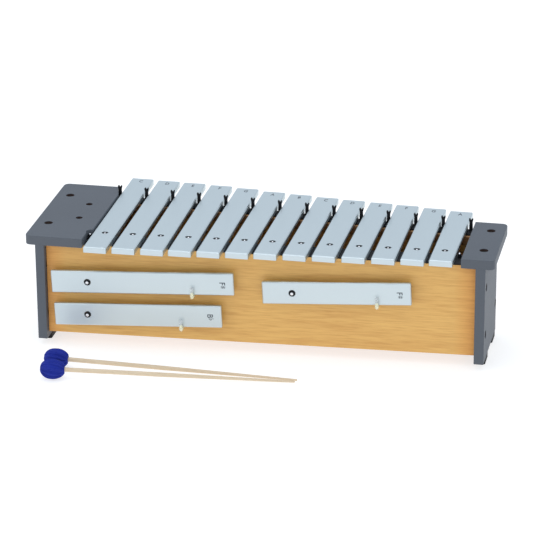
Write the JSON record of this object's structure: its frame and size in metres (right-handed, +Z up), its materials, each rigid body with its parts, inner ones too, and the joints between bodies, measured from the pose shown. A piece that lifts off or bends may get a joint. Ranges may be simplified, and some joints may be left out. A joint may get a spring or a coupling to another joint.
{
  "type": "diatonic table metallophone",
  "caption": "Table metallophone: aluminium tone bars on pins over a tapered wooden resonator box, exchange bars hung on the front wall, and yarn mallets lying in front",
  "frame": {"origin": "on the table under the centre of the bounding box of the box, bars and mallets", "axes": "+X from the long bars to the short ones, +Y away from the player, +Z up"},
  "size_m": [0.725, 0.4266, 0.1875],
  "materials": {
    "grey_paint": "satin slate-grey paint on wood",
    "beech": "clear satin lacquer, fine horizontal grain",
    "inner_wood": "raw",
    "black_rubber": "matt",
    "bright_steel": "polished",
    "dark_screw": "dark zinc",
    "hook_plastic": "cream core in a clear tube",
    "bar_aluminium": "satin anodised",
    "mallet_yarn": "wound yarn",
    "stick_wood": "smooth, oiled"
  },
  "bodies": {
    "sound_box": {"box_floor": "inner_wood", "front_cushion": "black_rubber", "front_rail": "inner_wood", "front_wall": "beech", "hanger_b_flat_1": "bright_steel", "hanger_f_sharp_1": "bright_steel", "hanger_f_sharp_2": "bright_steel", "hook_b_flat_1": "hook_plastic", "hook_f_sharp_1": "hook_plastic", "hook_f_sharp_2": "hook_plastic", "left_board_screw_front_lower": "dark_screw", "left_board_screw_front_upper": "dark_screw", "left_board_screw_rear_lower": "dark_screw", "left_board_screw_rear_upper": "dark_screw", "left_end_board": "grey_paint", "left_front_foot": "black_rubber", "left_plate_screw_front": "dark_screw", "left_plate_screw_rear": "dark_screw", "left_rear_foot": "black_rubber", "left_top_plate": "grey_paint", "pin_strip": "bright_steel", "rear_post_strip": "black_rubber", "rear_rail": "inner_wood", "rear_rail_screw_left": "dark_screw", "rear_rail_screw_right": "dark_screw", "rear_wall": "beech", "right_board_screw_front_lower": "dark_screw", "right_board_screw_front_upper": "dark_screw", "right_board_screw_rear_lower": "dark_screw", "right_board_screw_rear_upper": "dark_screw", "right_end_board": "grey_paint", "right_front_foot": "black_rubber", "right_plate_screw_front": "dark_screw", "right_plate_screw_rear": "dark_screw", "right_rear_foot": "black_rubber", "right_top_plate": "grey_paint"},
    "bar_c1": {"tone_bar_c1": "bar_aluminium"},
    "bar_d1": {"tone_bar_d1": "bar_aluminium"},
    "bar_e1": {"tone_bar_e1": "bar_aluminium"},
    "bar_f1": {"tone_bar_f1": "bar_aluminium"},
    "bar_g1": {"tone_bar_g1": "bar_aluminium"},
    "bar_a1": {"tone_bar_a1": "bar_aluminium"},
    "bar_b1": {"tone_bar_b1": "bar_aluminium"},
    "bar_c2": {"tone_bar_c2": "bar_aluminium"},
    "bar_d2": {"tone_bar_d2": "bar_aluminium"},
    "bar_e2": {"tone_bar_e2": "bar_aluminium"},
    "bar_f2": {"tone_bar_f2": "bar_aluminium"},
    "bar_g2": {"tone_bar_g2": "bar_aluminium"},
    "bar_a2": {"tone_bar_a2": "bar_aluminium"},
    "hung_bar_f_sharp_1": {"exchange_bar_f_sharp_1": "bar_aluminium"},
    "hung_bar_b_flat_1": {"exchange_bar_b_flat_1": "bar_aluminium"},
    "hung_bar_f_sharp_2": {"exchange_bar_f_sharp_2": "bar_aluminium"},
    "rear_mallet": {"rear_mallet_yarn": "mallet_yarn", "rear_mallet_core": "black_rubber", "rear_mallet_stick": "stick_wood"},
    "front_mallet": {"front_mallet_yarn": "mallet_yarn", "front_mallet_core": "black_rubber", "front_mallet_stick": "stick_wood"}
  },
  "joints": [
    {"name": "lift_off_c1", "type": "slide", "parent": "sound_box", "child": "bar_c1", "axis": [0, 0, 1], "range_m": [0, 0.03]},
    {"name": "lift_off_d1", "type": "slide", "parent": "sound_box", "child": "bar_d1", "axis": [0, 0, 1], "range_m": [0, 0.03]},
    {"name": "lift_off_e1", "type": "slide", "parent": "sound_box", "child": "bar_e1", "axis": [0, 0, 1], "range_m": [0, 0.03]},
    {"name": "lift_off_f1", "type": "slide", "parent": "sound_box", "child": "bar_f1", "axis": [0, 0, 1], "range_m": [0, 0.03]},
    {"name": "lift_off_g1", "type": "slide", "parent": "sound_box", "child": "bar_g1", "axis": [0, 0, 1], "range_m": [0, 0.03]},
    {"name": "lift_off_a1", "type": "slide", "parent": "sound_box", "child": "bar_a1", "axis": [0, 0, 1], "range_m": [0, 0.03]},
    {"name": "lift_off_b1", "type": "slide", "parent": "sound_box", "child": "bar_b1", "axis": [0, 0, 1], "range_m": [0, 0.03]},
    {"name": "lift_off_c2", "type": "slide", "parent": "sound_box", "child": "bar_c2", "axis": [0, 0, 1], "range_m": [0, 0.03]},
    {"name": "lift_off_d2", "type": "slide", "parent": "sound_box", "child": "bar_d2", "axis": [0, 0, 1], "range_m": [0, 0.03]},
    {"name": "lift_off_e2", "type": "slide", "parent": "sound_box", "child": "bar_e2", "axis": [0, 0, 1], "range_m": [0, 0.03]},
    {"name": "lift_off_f2", "type": "slide", "parent": "sound_box", "child": "bar_f2", "axis": [0, 0, 1], "range_m": [0, 0.03]},
    {"name": "lift_off_g2", "type": "slide", "parent": "sound_box", "child": "bar_g2", "axis": [0, 0, 1], "range_m": [0, 0.03]},
    {"name": "lift_off_a2", "type": "slide", "parent": "sound_box", "child": "bar_a2", "axis": [0, 0, 1], "range_m": [0, 0.03]},
    {"name": "swing_f_sharp_1", "type": "hinge", "parent": "sound_box", "child": "hung_bar_f_sharp_1", "pos_m": [-0.26452, -0.06155, 0.11129], "axis": [0.0445, -0.999, 0], "range_deg": [0, 6.5]},
    {"name": "swing_b_flat_1", "type": "hinge", "parent": "sound_box", "child": "hung_bar_b_flat_1", "pos_m": [-0.26561, -0.0616, 0.05726], "axis": [0.0445, -0.999, 0], "range_deg": [0, 3.2]},
    {"name": "swing_f_sharp_2", "type": "hinge", "parent": "sound_box", "child": "hung_bar_f_sharp_2", "pos_m": [0.05447, -0.04736, 0.1117], "axis": [0.0445, -0.999, 0], "range_deg": [0, 8]},
    {"name": "pick_up_rear_mallet", "type": "slide", "parent": "sound_box", "child": "rear_mallet", "axis": [0, 0, 1], "range_m": [0, 0.12]},
    {"name": "pick_up_front_mallet", "type": "slide", "parent": "sound_box", "child": "front_mallet", "axis": [0, 0, 1], "range_m": [0, 0.12]}
  ]
}
